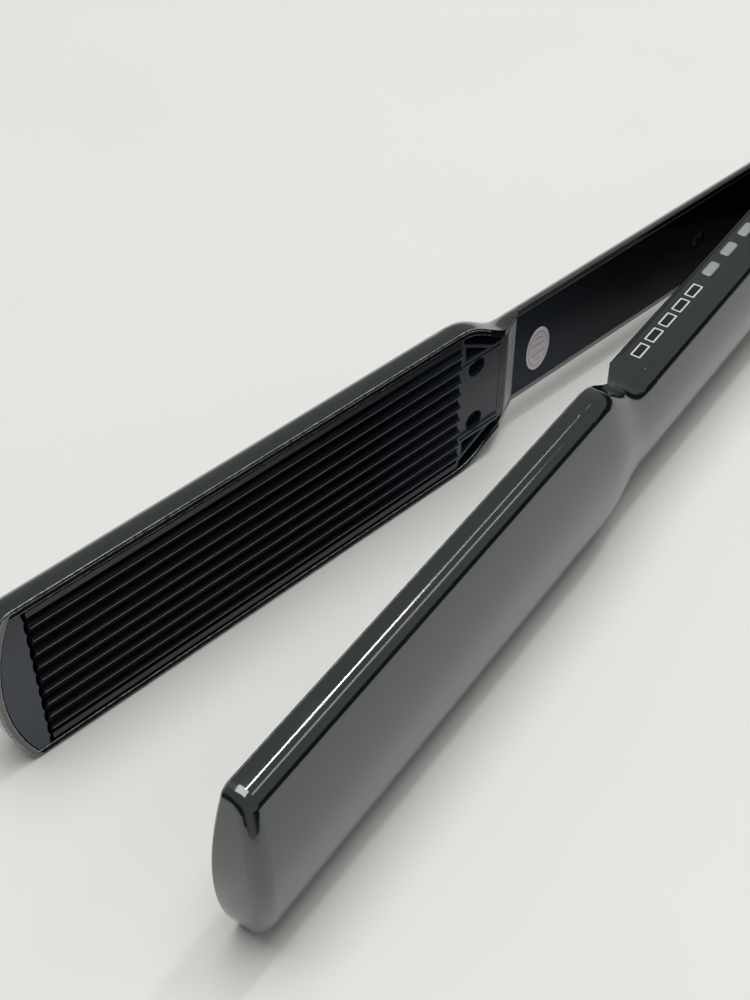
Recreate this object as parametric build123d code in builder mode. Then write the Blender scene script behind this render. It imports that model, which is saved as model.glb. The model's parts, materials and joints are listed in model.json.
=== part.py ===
# Hair iron with meshing corrugated plates, lying on its side and part open.
#
# Row frame, millimetres: +Z is up, the tips point to -X and the hinge lies at +X. The origin is on
# the table, at the middle of the flat lower side of the right arm's head.
#
# Each arm is modelled in a frame of its own: X runs from the hinge axis to the tip, Y across the
# plates, and Z outwards from the plane in which the two heads meet. Both arms share one outline.
import os
from math import atan2, cos, pi, radians, sin, sqrt

from build123d import *

os.makedirs("parts", exist_ok=True)

# Arm outline
open_angle = 12.2          # between the arms as they rest, degrees
tip_reach = 289.5          # hinge axis to the end of the nose
origin_at = 212.6          # hinge axis to the place on the flat side that is the origin
nose_radius = 50.0
head_half = 23.0
handle_half = 15.0
head_start = 156.0         # the head has its full width from here to the nose
handle_front = 134.0       # the handle has its full width from here to the hinge
right_tail = 14.0          # how far the right arm runs on behind the hinge axis
left_tail = 1.5
tail_radius = 24.0
shoulder_steps = 8

# Arm section
wall = 1.8
head_depth = 12.6
handle_depth = 11.0
head_crown = 41.0
handle_crown = 26.0
edge_round = 5.6
nose_round = 3.4
tail_round = 2.4
rim_bevel = 0.4
near = 0.05                # levels closer than this count as one
cut_margin = 1.0           # how far a cut runs on past the surface it starts from

# How the two handles share the space between them
cover_rise = 3.6           # right cover stands this far past the meeting plane
closed_gap = 0.6
cover_depth = 2.2          # right cover's side walls meet the housing here
cover_wall = 1.6
cover_bevel_length = 9.1
cover_bevel_foot = 0.4     # behind the meeting plane
cover_front = 140.5
cover_boss_radius = 3.2
cover_screw_seat = -1.0
groove_start = 14.0
groove_end = 128.0
fit_gap = 0.15
screw_gap = 0.2
cover_edge = 0.6
groove_level = 2.4         # above the meeting plane
groove_width = 0.45
groove_depth = 0.35
panel_slope_front = 139.8
panel_slope_back = 131.0
panel_thickness = 1.5
panel_inset = 0.35

# Heating plates
plate_start = 154.6
plate_length = 124.0
plate_half = 20.4
plate_body_half = 18.6
plate_foot = 3.0
land_level = 0.3
land_width = 1.6
flange_foot = 2.0
crest_proud = 0.4
valley_depth = 0.9
crest_flat = 0.35
pitch = 4.08
left_crests = 9
right_crests = 8

# Carrier
seat_gap = 0.3
deck_top = 6.0
deck_thickness = 1.2
nose_gap = 0.7
scallop_depth = 0.45
pad_half = 11.0
pad_level = 1.2
pad_ridge = 0.6            # a ridge along each side of the pad, then a groove, then a rib
pad_groove = 0.6
pad_groove_floor = 2.2
rib = 0.8
rib_level = 0.7
pocket_foot = 143.0        # where a pocket's slanted wall leaves the rib
pocket_reach = 19.0        # how far it stands out where it meets the wall behind the plate
face_level = 0.15
counterbore_radius = 2.8
counterbore_depth = 3.0
carrier_screw_at = 148.2
carrier_screw_half = 8.7

# Heater stack
heater_length = 96.0
heater_width = 14.0
heater_thickness = 1.3
sheet_margin = 2.0
sheet_thickness = 0.3
clamp_length = 92.0
clamp_width = 9.0
clamp_thickness = 0.5
sensor_at = 236.0
sensor_side = 11.5
fuse_radius = 1.3
fuse_length = 9.0
bead_radius = 0.9
bead_length = 4.6
lead_radius = 0.7
lead_sides = 6
lead_half = 3.9
lead_gap = 0.1
lead_start_level = 3.9
lead_slot = (151.0, 163.0)
lead_dip = (161.5, 154.5)
lead_drop = 12.0
lead_turn = 5.0
lead_bend = 2.0
terminal_level = 6.2

# Hinge
pin_radius = 2.0
pin_half = 13.4
running = 0.05
ear_radius = 8.0
ear_inner = 9.0
knuckle_radius = 7.0
knuckle_half = 8.4
knuckle_inner = 4.4
hinge_clear = 0.6
bush_radius = 3.0
cap_radius = 4.6
cap_thickness = 1.2
hinge_block = 12.0
washer_radius = 4.5
press_gap = 0.02

# Return spring
wire = 1.0
wire_sides = 6
coil_radius = 3.4
coil_turns = 3
leg_length = 16.0
leg_side = 3.4
leg_room = 0.9
arc_samples = 8

# Controls on the upper side of the right handle
window_first = 95.1
window_pitch = 7.15
window_count = 5
window_length = 5.5
window_height = 1.8
window_level = 0.5
window_sink = 0.05
guide_thickness = 1.6
button_first = 63.7
button_count = 3
button_pitch = 10.45
button_length = 6.6
button_height = 3.0
button_level = 0.1
button_round = 1.0
button_proud = 0.5
button_edge = 0.3
plunger_length = 0.9
button_gap = 0.12
button_travel = 0.4
button_flange = 0.9
button_flange_thickness = 0.8

# Control board
board_start = 26.0
board_end = 129.0
board_margin = 2.6         # from the handle's side to the board's edge
board_face = 2.6
board_thickness = 1.6
board_corner = 1.0
chip_at = (60.0, 3.0)
chip_size = (7.2, 5.2, 1.6)
chip_foot = 0.15
chip_leads = 8
chip_lead_pitch = 0.8
chip_lead_reach = 0.9
triac_at = (50.0, 0.0)
triac_size = (9.0, 10.0, 4.2)
triac_tab = 1.2
triac_tab_reach = 5.0
triac_hole_radius = 1.6
capacitor_at = (76.0, 0.0)
capacitor_size = (13.0, 9.0, 4.0)
capacitor_edge = 0.8
line_fuse_at = (99.0, 0.0)
line_fuse_length = 10.0
line_fuse_radius = 1.9
fuse_collar = 1.6
fuse_glass_step = 0.2
terminal_length = 8.0
terminal_margin = 1.2
switch_length = 5.6
switch_depth = 3.0
switch_height = 3.4
plunger_radius = 0.9
led_size = 1.6
board_screw_places = [(31.0, 8.6), (31.0, -8.6), (88.0, 8.6), (125.0, 8.6)]

# Screws
screw_radius = 1.2
screw_head_radius = 2.2
screw_head_height = 1.5
boss_radius = 2.9
cross_length = 2.2
cross_width = 0.6
cross_depth = 0.7
thread_depth = 4.0
carrier_thread_depth = 2.6
thread_end = 0.4
left_cover_screw_at = 56.4
left_screw_sink = 1.8
left_screw_floor = 1.2
right_cover_screw_places = [19.0, 112.0]

# Swivel gland of the cord inlet
gland_level = 3.6
gland_seat = -10.0
swivel_gap = 0.08
gland_radius = 4.6
gland_flange_radius = 5.6
gland_flange = 1.2
gland_reach = 9.0
gland_end_radius = 4.0
cord_bore_radius = 3.1
lead_hole_radius = 4.2
lead_hole_start = -11.0

# Sticker on the left panel
sticker_at = (121.9, -2.0)
sticker_reach = (4.3, 6.7)
sticker_thickness = 0.15

# Worked out from the sizes above
panel_level = cover_rise + closed_gap
plate_end = plate_start + plate_length
window_places = [window_first + i * window_pitch for i in range(window_count)]
button_places = [button_first + i * button_pitch for i in range(button_count)]
board_half = handle_half - board_margin
board_back = board_face + board_thickness
deck_back = deck_top + deck_thickness
lead_level = deck_back + lead_gap + lead_radius
left_screw_seat = panel_level + left_screw_sink
left_post_end = left_screw_seat + left_screw_floor
coil_angle = 360 * coil_turns + 180 - open_angle
leg_lean = leg_length * 2 * leg_side / (coil_radius * radians(coil_angle))
far = 400.0


def blend(a, b, t):
    """A value that leaves a and reaches b without a kink, as t runs from 0 to 1."""
    t = min(max(t, 0.0), 1.0)
    return a + (b - a) * t ** 3 * (10 - 15 * t + 6 * t * t)


def shoulder_sizes(x):
    """Half the arm's width at x, its depth there, and the radius of its crowned back."""
    t = (x - handle_front) / (head_start - handle_front)
    return (blend(handle_half, head_half, t), blend(handle_depth, head_depth, t),
            blend(handle_crown, head_crown, t))


def round_centre(half, depth, crown):
    """Centre of the rounding between an arm's side and its crowned back."""
    across = half - edge_round
    return across, depth - crown + sqrt((crown - edge_round) ** 2 - across ** 2)


def across_plane(x):
    """The plane across an arm at x, with its X along Y of the arm and its Y outwards."""
    return Plane(origin=(x, 0, 0), x_dir=(0, 1, 0), z_dir=(1, 0, 0))


def side_plane(y):
    """The plane along an arm at y, with its X along the arm and its Y outwards."""
    return Plane(origin=(0, y, 0), x_dir=(1, 0, 0), z_dir=(0, -1, 0))


def arm_section(x, inset, low):
    """The arm's outline across x from the level low outwards; a hollow's has straight sides."""
    half, depth, crown = shoulder_sizes(x)
    centre_y, centre_z = round_centre(half, depth, crown)
    meet = atan2(centre_y, centre_z - depth + crown)     # where the rounding runs into the crown
    radius = edge_round - inset
    bisector = pi / 4 + meet / 2
    rise = [
        (half - inset, centre_z),
        (centre_y + radius * sin(bisector), centre_z + radius * cos(bisector)),
        (centre_y + radius * sin(meet), centre_z + radius * cos(meet)),
    ]
    back = (0, depth - inset)
    fall = [(-y, z) for y, z in reversed(rise)]
    quarter = ((crown - inset) * sin(meet / 2), depth - crown + (crown - inset) * cos(meet / 2))
    with BuildSketch(across_plane(x)) as section:
        with BuildLine():
            if inset:
                Polyline((half - inset, low), *rise, quarter, back, (-quarter[0], quarter[1]), *fall,
                         (inset - half, low), close=True)
            else:
                Polyline(fall[-1], (-half, low), (half, low), rise[0])
                ThreePointArc(*rise)
                ThreePointArc(rise[-1], back, fall[0])
                ThreePointArc(*fall)
        make_face()
    return section.sketch


def arm_form(tail, inset, low):
    """The arm's outer form, or the hollow inside it when inset is a wall, open below low."""
    step = (head_start - handle_front) / shoulder_steps
    shoulder = [handle_front + i * step for i in range(-2, shoulder_steps + 3)]
    with BuildPart() as form:
        extrude(arm_section(-tail, inset, low), amount=shoulder[0] + tail)
        loft([arm_section(x, inset, low) for x in shoulder])
        extrude(arm_section(shoulder[-1], inset, low), amount=tip_reach - shoulder[-1])
        with BuildSketch(Plane.XY.offset(low)):
            with Locations((tip_reach - nose_radius, 0)):
                Circle(nose_radius - inset)
            with Locations((tail_radius - tail, 0)):
                Circle(tail_radius - inset)
            with Locations(((tip_reach - nose_radius + tail_radius - tail) / 2, 0)):
                Rectangle(tip_reach - nose_radius - tail_radius + tail, 4 * head_half)
        extrude(amount=far, mode=Mode.INTERSECT)
    return form.part


def side_prism(points, half=far):
    """A prism across the arm from a side view's corners, each a distance along and a level."""
    with BuildPart() as prism:
        with BuildSketch(side_plane(0)):
            with BuildLine():
                Polyline(*points, close=True)
            make_face()
        extrude(amount=half, both=True)
    return prism.part


def block(x, y, z):
    """A box from its two limits along each axis."""
    size = (abs(x[1] - x[0]), abs(y[1] - y[0]), abs(z[1] - z[0]))
    centre = ((x[0] + x[1]) / 2, (y[0] + y[1]) / 2, (z[0] + z[1]) / 2)
    return Pos(*centre) * Box(*size, mode=Mode.PRIVATE)


def post(place, radius, z):
    """A round post standing outwards from the plates, from one level to another."""
    return Pos(place[0], place[1], (z[0] + z[1]) / 2) * Cylinder(radius, z[1] - z[0], mode=Mode.PRIVATE)


def barrel(radius, y, x=0.0, z=0.0):
    """A round bar across the arm, from one side place to another."""
    lie = Pos(x, (y[0] + y[1]) / 2, z) * Rot(90, 0, 0)
    return lie * Cylinder(radius, abs(y[1] - y[0]), mode=Mode.PRIVATE)


def rod(radius, x, y, z):
    """A round bar along the arm."""
    lie = Pos((x[0] + x[1]) / 2, y, z) * Rot(0, 90, 0)
    return lie * Cylinder(radius, x[1] - x[0], mode=Mode.PRIVATE)


def end_edges(part, at_tip, low):
    """The edges round an arm's end face, without those on its flat rim."""
    above = part.edges().filter_by(lambda e: e.center().Z > low + near)
    if at_tip:
        return above.filter_by(lambda e: e.bounding_box().min.X > tip_reach - nose_radius / 2)
    return above.filter_by(lambda e: e.bounding_box().max.X < tail_round - ear_radius / 2)


def rim_edges(part, level, x):
    """The outer edges of an arm's flat rim at one level, between two places along it."""
    flat = part.edges().filter_by(lambda e: abs(e.bounding_box().min.Z - level) < near)
    flat = flat.filter_by(lambda e: abs(e.bounding_box().max.Z - level) < near)
    return flat.filter_by(lambda e: x[0] < e.center().X < x[1] and abs(e.center().Y) > handle_half / 2)


def place(piece, label, arm):
    """Sets a finished piece in its arm's place, names it and writes it."""
    piece.part.move(arm.location)
    piece.part.label = label
    export_step(piece.part, f"parts/{label}.step")


def screw(head, length):
    """A pan-head screw, its head at one level and its thread running outwards."""
    with BuildPart() as fastener:
        with BuildSketch(Plane.XZ) as profile:
            with BuildLine():
                Polyline((0, 0), (screw_head_radius, 0), (screw_head_radius, screw_head_height),
                         (screw_radius, screw_head_height), (screw_radius, length), (0, length),
                         close=True)
            make_face()
        revolve(axis=Axis.Z)
        with Locations((0, 0, cross_depth / 2)):
            Box(cross_length, cross_width, cross_depth, mode=Mode.SUBTRACT)
            Box(cross_width, cross_length, cross_depth, mode=Mode.SUBTRACT)
    return Pos(*head) * fastener.part


# The two arms in the row frame. The left arm's Y points up and the right arm's down.
flat_middle = round_centre(head_half, head_depth, head_crown)[1] / 2
hinge = (origin_at, flat_middle, head_half)
right_arm = Plane(origin=hinge, x_dir=(-1, 0, 0), z_dir=(0, -1, 0))
turn = radians(open_angle)
left_arm = Plane(origin=hinge, x_dir=(-cos(turn), sin(turn), 0), z_dir=(sin(turn), cos(turn), 0))

# Posts inside each handle and head, kept within the arm's outer form
form_inside = arm_form(right_tail, wall / 2, 0)
carrier_screw_places = [(carrier_screw_at, side * carrier_screw_half) for side in (-1, 1)]


def posts(places, low):
    """Screw posts that stand on the arm's back, up to a level."""
    return [post(spot, boss_radius, (low, head_depth)) & form_inside for spot in places]


def hollow(tail, inset, low):
    """The room inside an arm, clear of the solid block at its hinge."""
    room = side_prism([(hinge_block, -far), (far, -far), (far, far), (hinge_block, far)])
    return arm_form(tail, inset, low) & room


# Right outer housing: solid at the hinge, where it carries the ears and the cord inlet
with BuildPart() as right_outer_housing:
    add(arm_form(right_tail, 0, -cover_rise))
    fillet(end_edges(right_outer_housing.part, True, -cover_rise), nose_round)
    fillet(end_edges(right_outer_housing.part, False, -cover_rise), tail_round)
    add(side_prism([
        (hinge_block, -far), (hinge_block, cover_depth), (cover_front, cover_depth),
        (cover_front, 0), (far, 0), (far, -far),
    ]), mode=Mode.SUBTRACT)
    chamfer(rim_edges(right_outer_housing.part, 0, (cover_front, far)), rim_bevel)
    add(hollow(right_tail, wall, -far / 2), mode=Mode.SUBTRACT)
    add(posts(board_screw_places, board_back))
    add(posts([(x, 0) for x in right_cover_screw_places], board_back))
    add(posts(carrier_screw_places, deck_back))
    add(barrel(knuckle_radius + hinge_clear, (-ear_inner, ear_inner)), mode=Mode.SUBTRACT)
    for side in (-1, 1):
        add(barrel(ear_radius, (side * ear_inner, side * handle_half)))
        add(barrel(pin_radius + press_gap, (side * ear_inner, side * handle_half)), mode=Mode.SUBTRACT)
        cap_seat = (side * (handle_half - cap_thickness), side * handle_half)
        add(barrel(cap_radius + press_gap, cap_seat), mode=Mode.SUBTRACT)
    add(block((0, hinge_block), (-leg_side - leg_room - leg_lean, -leg_side + leg_room),
              (coil_radius - leg_room, coil_radius + leg_room)), mode=Mode.SUBTRACT)
    add(block((0, hinge_block), (leg_side - leg_room, leg_side + leg_room + leg_lean),
              (-cover_rise, -coil_radius + leg_room)), mode=Mode.SUBTRACT)
    add(rod(gland_radius + swivel_gap, (-right_tail, gland_seat), 0, gland_level), mode=Mode.SUBTRACT)
    add(rod(gland_flange_radius + swivel_gap, (gland_seat - gland_flange - 2 * swivel_gap, gland_seat), 0,
            gland_level), mode=Mode.SUBTRACT)
    add(rod(lead_hole_radius, (lead_hole_start, 0), 0, gland_level), mode=Mode.SUBTRACT)
    for spot in board_screw_places + [(x, 0) for x in right_cover_screw_places]:
        add(post(spot, screw_radius + press_gap, (board_back, board_back + thread_depth)),
            mode=Mode.SUBTRACT)
    for spot in carrier_screw_places:
        add(post(spot, screw_radius + press_gap, (deck_back, deck_back + carrier_thread_depth)),
            mode=Mode.SUBTRACT)

# Left outer housing: its rim steps back along the handle, where the right cover stands proud
panel_step = [
    (-far, -far), (-far, panel_level), (panel_slope_back, panel_level), (panel_slope_front, 0),
    (far, 0), (far, -far),
]
with BuildPart() as left_outer_housing:
    add(arm_form(left_tail, 0, -cover_rise))
    fillet(end_edges(left_outer_housing.part, True, -cover_rise), nose_round)
    add(side_prism(panel_step), mode=Mode.SUBTRACT)
    chamfer(rim_edges(left_outer_housing.part, 0, (panel_slope_front, far)), rim_bevel)
    chamfer(rim_edges(left_outer_housing.part, panel_level, (0, panel_slope_back)), rim_bevel)
    add(hollow(left_tail, wall, -far / 2), mode=Mode.SUBTRACT)
    add(posts([(left_cover_screw_at, 0)], left_post_end))
    add(posts(carrier_screw_places, deck_back))
    for side in (-1, 1):
        ear_side = (side * (ear_inner - hinge_clear), side * far)
        add(barrel(ear_radius + hinge_clear, ear_side), mode=Mode.SUBTRACT)
        add(barrel(knuckle_radius, (side * knuckle_inner, side * knuckle_half)))
        bush_side = (side * knuckle_inner, side * knuckle_half)
        add(barrel(bush_radius + press_gap, bush_side), mode=Mode.SUBTRACT)
    add(barrel(coil_radius + wire, (-knuckle_inner, knuckle_inner)), mode=Mode.SUBTRACT)
    add(post((left_cover_screw_at, 0), screw_radius + press_gap,
             (panel_level, left_post_end + carrier_thread_depth)), mode=Mode.SUBTRACT)
    for spot in carrier_screw_places:
        add(post(spot, screw_radius + press_gap, (deck_back, deck_back + carrier_thread_depth)),
            mode=Mode.SUBTRACT)

# Right inner cover: stands proud, carries the window and button cut-outs, and is grooved along its sides
cover_side = [
    (hinge_block + fit_gap, -cover_rise), (cover_front - cover_bevel_length, -cover_rise),
    (cover_front - fit_gap, cover_bevel_foot), (cover_front - fit_gap, cover_depth),
    (hinge_block + fit_gap, cover_depth),
]
cover_room = [
    (hinge_block + cover_wall, -cover_rise + cover_wall),
    (cover_front - cover_bevel_length - cover_wall, -cover_rise + cover_wall),
    (cover_front - 2 * cover_wall, cover_depth), (cover_front - 2 * cover_wall, far),
    (hinge_block + cover_wall, far),
]
with BuildPart() as right_inner_cover:
    add(arm_form(right_tail, 0, -cover_rise) & side_prism(cover_side))
    chamfer(rim_edges(right_inner_cover.part, -cover_rise, (hinge_block + cut_margin, far)), cover_edge)
    add(arm_form(right_tail, cover_wall, -far / 2) & side_prism(cover_room), mode=Mode.SUBTRACT)
    for x in right_cover_screw_places:
        add(post((x, 0), cover_boss_radius, (-cover_rise + cover_wall, board_back - fit_gap)))
        add(post((x, 0), screw_head_radius + screw_gap, (-far, cover_screw_seat)), mode=Mode.SUBTRACT)
        add(post((x, 0), screw_radius + screw_gap, (-far, far)), mode=Mode.SUBTRACT)
    for side in (-1, 1):
        add(block((groove_start, groove_end), (side * (handle_half - groove_depth), side * far),
                  (-groove_level - groove_width / 2, -groove_level + groove_width / 2)), mode=Mode.SUBTRACT)
    add(block((hinge_block, leg_length + leg_room), (leg_side - leg_room, leg_side + leg_room + leg_lean),
              (-cover_rise, -coil_radius + leg_room)), mode=Mode.SUBTRACT)
    with BuildSketch(side_plane(-handle_half - cut_margin)):
        with Locations([(x, window_level) for x in window_places]):
            Rectangle(window_length, window_height)
        with Locations([(x, button_level) for x in button_places]):
            RectangleRounded(button_length, button_height, button_round)
    extrude(amount=-cover_wall - 2 * cut_margin, mode=Mode.SUBTRACT)

# Left inner cover: the recessed panel with its sloped front step
slope = (panel_slope_front - panel_slope_back) / panel_level
panel_side = [
    (hinge_block + fit_gap, panel_level), (panel_slope_back, panel_level),
    (panel_slope_front - slope * pad_level, pad_level), (panel_slope_front, pad_level),
    (panel_slope_front, pad_level + panel_thickness),
    (panel_slope_back + panel_thickness, panel_level + panel_thickness),
    (hinge_block + fit_gap, panel_level + panel_thickness),
]
with BuildPart() as left_inner_cover:
    add(arm_form(left_tail, wall + panel_inset, -far / 2) & side_prism(panel_side))
    add(post((left_cover_screw_at, 0), cover_boss_radius, (panel_level, left_post_end)))
    add(post((left_cover_screw_at, 0), screw_head_radius + screw_gap, (-far, left_screw_seat)),
        mode=Mode.SUBTRACT)
    add(post((left_cover_screw_at, 0), screw_radius + screw_gap, (-far, far)), mode=Mode.SUBTRACT)


def plate_carrier(back, nose_shift):
    """The frame that holds the plate: rails, nose face, pad with its screw holes, and pockets."""
    inset = wall + seat_gap
    with BuildPart() as carrier:
        add(arm_form(left_tail, inset, face_level) & block(
            (back, far), (-far, far), (-far, deck_top + deck_thickness)))
        add(block((plate_start - fit_gap, plate_end + fit_gap), (-far, far), (-far, flange_foot)),
            mode=Mode.SUBTRACT)
        add(block((plate_start - fit_gap, plate_end + fit_gap), (-plate_body_half - fit_gap,
                  plate_body_half + fit_gap), (-far, deck_top)), mode=Mode.SUBTRACT)
        add(block((0, plate_start), (-pad_half, pad_half), (-far, pad_level)), mode=Mode.SUBTRACT)
        add(block((0, plate_start), (-far, far), (-far, rib_level)), mode=Mode.SUBTRACT)
        groove = pad_half + pad_ridge
        for side in (-1, 1):
            add(block((0, plate_start - fit_gap - rib), (side * groove, side * (groove + pad_groove)),
                      (-far, pad_groove_floor)), mode=Mode.SUBTRACT)
        beside = groove + pad_groove + rib
        wall_back = plate_start - fit_gap - rib
        slant = (pocket_reach - beside) / (wall_back - pocket_foot)
        tip = pocket_foot + rib * sqrt(1 + slant ** 2) / slant
        with BuildSketch(Plane.XY.offset(deck_top)):
            with BuildLine():
                Polyline((0, beside), (pocket_foot, beside), (wall_back, pocket_reach), (wall_back, far),
                         (0, far), close=True)
            make_face()
            with BuildLine():
                Polyline((tip, beside), (wall_back - rib, beside),
                         (wall_back - rib, beside + slant * (wall_back - rib - tip)), close=True)
            make_face()
            mirror(about=Plane.XZ)
        extrude(amount=-far, mode=Mode.SUBTRACT)
        scallop_radius = (pitch ** 2 / 4 + scallop_depth ** 2) / (2 * scallop_depth)
        scallop_row = plate_end + nose_gap + scallop_depth - scallop_radius
        scallops = round(plate_half / pitch)
        for i in range(-scallops, scallops + 1):
            spot = (scallop_row, i * pitch + nose_shift)
            add(post(spot, scallop_radius, (-far, deck_top)), mode=Mode.SUBTRACT)
        for spot in carrier_screw_places:
            seat = pad_level + counterbore_depth
            add(post(spot, counterbore_radius, (-far, seat)), mode=Mode.SUBTRACT)
            add(post(spot, screw_radius + screw_gap, (-far, far)), mode=Mode.SUBTRACT)
        add(block(lead_slot, (-lead_half - 2 * lead_radius, lead_half + 2 * lead_radius),
                  (deck_top, far)), mode=Mode.SUBTRACT)
    return carrier


def heating_plate(crests):
    """The coated aluminium plate: cusped crests between round valleys, and a flat land each side."""
    first = -(crests - 1) / 2 * pitch
    land = plate_half - land_width
    with BuildPart() as plate:
        with BuildSketch(across_plane(plate_start)):
            with BuildLine():
                Polyline((-land, land_level), (-plate_half, land_level), (-plate_half, flange_foot),
                         (-plate_body_half, flange_foot), (-plate_body_half, plate_foot),
                         (plate_body_half, plate_foot), (plate_body_half, flange_foot),
                         (plate_half, flange_foot), (plate_half, land_level), (land, land_level))
                left, level = -land, land_level
                for i in range(crests):
                    y = first + i * pitch
                    here = y - crest_flat / 2
                    ThreePointArc((left, level), ((left + here) / 2, valley_depth), (here, -crest_proud))
                    Line((here, -crest_proud), (y + crest_flat / 2, -crest_proud))
                    left, level = y + crest_flat / 2, -crest_proud
                ThreePointArc((left, level), ((left + land) / 2, valley_depth), (land, land_level))
            make_face()
        extrude(amount=plate_length)
    return plate


heater_start = plate_start + (plate_length - heater_length) / 2
sheet_top = plate_foot + heater_thickness + sheet_thickness


def ceramic_heater():
    """The flat ceramic strip that lies on the back of the plate."""
    with BuildPart() as strip:
        add(block((heater_start, heater_start + heater_length), (-heater_width / 2, heater_width / 2),
                  (plate_foot, plate_foot + heater_thickness)))
        chamfer(strip.edges().filter_by(Axis.Z), heater_thickness / 2)
    return strip


def insulating_sheet():
    """The thin sheet between heater and clamp."""
    half = heater_width / 2 + sheet_margin
    with BuildPart() as sheet:
        add(block((heater_start, heater_start + heater_length), (-half, half),
                  (sheet_top - sheet_thickness, sheet_top)))
        fillet(sheet.edges().filter_by(Axis.Z), sheet_margin)
    return sheet


def heater_clamp():
    """The bowed spring-steel strip that presses the heater on the plate."""
    middle = heater_start + heater_length / 2
    ends = (middle - clamp_length / 2, middle + clamp_length / 2)
    foot = deck_top - clamp_thickness
    with BuildPart() as bow:
        with BuildSketch(side_plane(0)):
            with BuildLine():
                ThreePointArc((ends[0], foot), (middle, sheet_top), (ends[1], foot))
                Line((ends[1], foot), (ends[1], deck_top))
                ThreePointArc((ends[1], deck_top), (middle, sheet_top + clamp_thickness), (ends[0], deck_top))
                Line((ends[0], deck_top), (ends[0], foot))
            make_face()
        extrude(amount=clamp_width / 2, both=True)
    return bow


def leads(far_end):
    """The two wires from the heater, along the handle to their far end."""
    with BuildPart() as pair:
        for side in (-1, 1):
            y = side * lead_half
            route = [(heater_start, y, lead_start_level), (lead_dip[0], y, lead_start_level),
                     (lead_dip[1], y, lead_level)] + [(x, y, z) for x, z in far_end]
            with BuildLine() as path:
                FilletPolyline(*route, radius=lead_bend)
            with BuildSketch(Plane(origin=route[0], z_dir=(-1, 0, 0))):
                RegularPolygon(lead_radius, lead_sides)
            sweep(path=path.line)
    return pair


# Controls on the right arm's upper side, which is the low side of its Y
flange_face = -handle_half + cover_wall + running


def button_cap(x):
    """One push button: a rounded cap through the cover's side, kept in by its flange."""
    with BuildPart() as cap:
        with BuildSketch(side_plane(-handle_half - button_proud)):
            with Locations((x, button_level)):
                RectangleRounded(button_length - 2 * button_gap, button_height - 2 * button_gap,
                                 button_round - button_gap)
        extrude(amount=-(flange_face + handle_half + button_proud))
        chamfer(cap.faces().sort_by(Axis.Y)[0].edges(), button_edge)
        with BuildSketch(side_plane(flange_face)):
            with Locations((x, button_level)):
                Rectangle(button_length + 2 * button_flange, button_height + button_flange)
        extrude(amount=-button_flange_thickness)
    return cap


def tact_switch_row():
    """The side-push switches under the buttons."""
    tip = flange_face + button_flange_thickness + button_travel + running
    case = tip + plunger_length
    with BuildPart() as row:
        for x in button_places:
            add(block((x - switch_length / 2, x + switch_length / 2), (case, case + switch_depth),
                      (board_face - switch_height, board_face)))
            add(barrel(plunger_radius, (tip, case + running), x, button_level))
    return row


with BuildPart() as light_guide:
    guide_face = -handle_half + wall + fit_gap
    guide_half = window_pitch / 2 + window_length / 4
    add(block((window_places[0] - guide_half, window_places[-1] + guide_half),
              (guide_face, guide_face + guide_thickness), (window_level - window_height, board_face)))
    with BuildSketch(side_plane(-handle_half + window_sink)):
        with Locations([(x, window_level) for x in window_places]):
            Rectangle(window_length - fit_gap, window_height - fit_gap)
    extrude(amount=-(guide_face + handle_half - window_sink))

with BuildPart() as status_leds:
    led_back = guide_face + guide_thickness + running
    for x in window_places:
        add(block((x - led_size / 2, x + led_size / 2), (led_back, led_back + led_size),
                  (board_face - led_size, board_face)))

with BuildPart() as control_board:
    add(block((board_start, board_end), (-board_half, board_half), (board_face, board_back)))
    chamfer(control_board.edges().filter_by(Axis.Z), board_corner)
    for spot in board_screw_places:
        add(post(spot, screw_radius + screw_gap, (0, far)), mode=Mode.SUBTRACT)
    add(post((right_cover_screw_places[1], 0), cover_boss_radius + fit_gap, (0, far)),
        mode=Mode.SUBTRACT)

with BuildPart() as controller_chip:
    add(block((chip_at[0] - chip_size[0] / 2, chip_at[0] + chip_size[0] / 2),
              (chip_at[1] - chip_size[1] / 2, chip_at[1] + chip_size[1] / 2),
              (board_face - chip_size[2], board_face - chip_foot)))
    chamfer(controller_chip.faces().sort_by(Axis.Z)[0].edges(), chip_foot)
    for side in (-1, 1):
        for i in range(chip_leads):
            x = chip_at[0] + (i - (chip_leads - 1) / 2) * chip_lead_pitch
            edge = chip_at[1] + side * chip_size[1] / 2
            reach = (edge - side * chip_foot, edge + side * chip_lead_reach)
            add(block((x - chip_foot, x + chip_foot), reach, (board_face - 2 * chip_foot, board_face)))

with BuildPart() as triac:
    add(block((triac_at[0] - triac_size[0] / 2, triac_at[0] + triac_size[0] / 2),
              (triac_at[1] - triac_size[1] / 2, triac_at[1] + triac_size[1] / 2),
              (board_back + triac_tab, board_back + triac_size[2])))
    chamfer(triac.faces().sort_by(Axis.Z)[-1].edges(), triac_tab / 2)
    add(block((triac_at[0] - triac_size[0] / 2, triac_at[0] + triac_size[0] / 2 + triac_tab_reach),
              (triac_at[1] - triac_size[1] / 2, triac_at[1] + triac_size[1] / 2),
              (board_back, board_back + triac_tab)))
    add(post((triac_at[0] + triac_size[0] / 2 + triac_tab_reach / 2, triac_at[1]), triac_hole_radius,
             (0, far)), mode=Mode.SUBTRACT)

with BuildPart() as filter_capacitor:
    add(block((capacitor_at[0] - capacitor_size[0] / 2, capacitor_at[0] + capacitor_size[0] / 2),
              (capacitor_at[1] - capacitor_size[1] / 2, capacitor_at[1] + capacitor_size[1] / 2),
              (board_back, board_back + capacitor_size[2])))
    chamfer(filter_capacitor.edges().filter_by(Axis.Z), capacitor_edge)

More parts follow.
